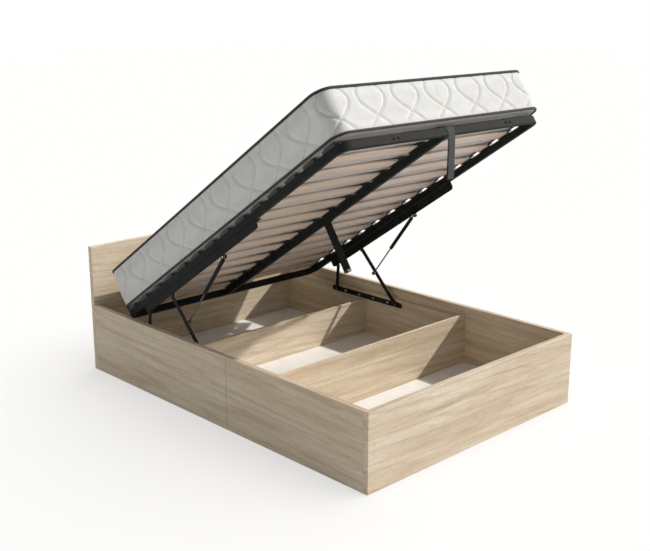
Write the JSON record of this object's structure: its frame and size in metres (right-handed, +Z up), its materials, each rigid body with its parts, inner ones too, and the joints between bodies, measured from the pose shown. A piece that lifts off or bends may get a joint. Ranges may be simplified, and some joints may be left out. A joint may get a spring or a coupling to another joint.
{
  "type": "ottoman bed",
  "caption": "Ottoman bed with a lift-up slatted mattress frame on gas struts over an oak box divided into storage compartments, shown open",
  "frame": {"origin": "on the floor under the middle of the bed's box", "axes": "+X runs from the headboard to the footboard, +Y from the near side to the far side, +Z up"},
  "size_m": [2.115, 1.48, 1.6681],
  "materials": {
    "oak_board": "matte laminate with oak grain",
    "white_board": "white laminate",
    "pine_batten": "raw pine",
    "black_steel": "satin powder coat",
    "bare_steel": "zinc plated",
    "bentwood": "lacquered beech",
    "black_plastic": "moulded",
    "quilted_cover": "quilted knit with dark piping",
    "webbing": "woven webbing"
  },
  "bodies": {
    "box": {"headboard": "oak_board", "footboard": "oak_board", "near_side_head": "oak_board", "near_side_foot": "oak_board", "far_side_head": "oak_board", "far_side_foot": "oak_board", "near_liner": "oak_board", "far_liner": "oak_board", "head_partition": "oak_board", "foot_partition": "oak_board", "head_bottom": "white_board", "middle_bottom": "white_board", "foot_bottom": "white_board", "floor_battens": "pine_batten", "near_base_rail": "black_steel", "far_base_rail": "black_steel", "base_rail_screws": "bare_steel", "base_pivot_pins": "bare_steel"},
    "front_arms": {"near_front_arm": "black_steel", "far_front_arm": "black_steel"},
    "lift_frame": {"near_angle_rail": "black_steel", "far_angle_rail": "black_steel", "angle_bolts": "bare_steel", "upper_pivot_pins": "bare_steel", "strut_bolts": "bare_steel", "head_rail": "black_steel", "foot_rail": "black_steel", "near_rail": "black_steel", "far_rail": "black_steel", "centre_beam": "black_steel", "near_slats": "bentwood", "far_slats": "bentwood", "near_holders": "black_plastic", "far_holders": "black_plastic", "centre_holders": "black_plastic", "centre_leg": "black_steel", "leg_foot": "black_plastic", "mattress": "quilted_cover", "pull_strap": "webbing"},
    "rear_arms": {"near_rear_arm": "black_steel", "far_rear_arm": "black_steel"},
    "gas_cylinders": {"near_gas_cylinder": "black_steel", "far_gas_cylinder": "black_steel"},
    "gas_rods": {"near_gas_rod": "bare_steel", "far_gas_rod": "bare_steel"}
  },
  "joints": [
    {"name": "front_arm_hinge", "type": "hinge", "parent": "box", "child": "front_arms", "pos_m": [-0.0984, 0, 0.2776], "axis": [0, -1, 0], "range_deg": [0, 44.85], "stiffness_Nm_per_rad": 1600, "springref_deg": -25.21},
    {"name": "lid_hinge", "type": "hinge", "parent": "front_arms", "child": "lift_frame", "pos_m": [-0.36993, 0, 0.56045], "axis": [0, -1, 0], "range_deg": [-78.67, 0]},
    {"name": "rear_arm_hinge", "type": "hinge", "parent": "box", "child": "rear_arms", "pos_m": [-0.5838, 0, 0.2776], "axis": [0, -1, 0], "range_deg": [0, 91.48]},
    {"name": "gas_strut_hinge", "type": "hinge", "parent": "lift_frame", "child": "gas_cylinders", "pos_m": [0.04245, 0, 0.83363], "axis": [0, -1, 0], "range_deg": [-18.64, 0]},
    {"name": "gas_rod_slide", "type": "slide", "parent": "gas_cylinders", "child": "gas_rods", "axis": [-0.6066, 0, -0.795], "range_m": [-0.162, 0]}
  ],
  "couplings": [
    {"joint": "lid_hinge", "follows": "front_arm_hinge", "ratio": -1.7536},
    {"joint": "rear_arm_hinge", "follows": "front_arm_hinge", "ratio": 2.0393},
    {"joint": "gas_strut_hinge", "follows": "front_arm_hinge", "ratio": -0.41511},
    {"joint": "gas_rod_slide", "follows": "front_arm_hinge", "m_per_rad": -0.20681}
  ]
}
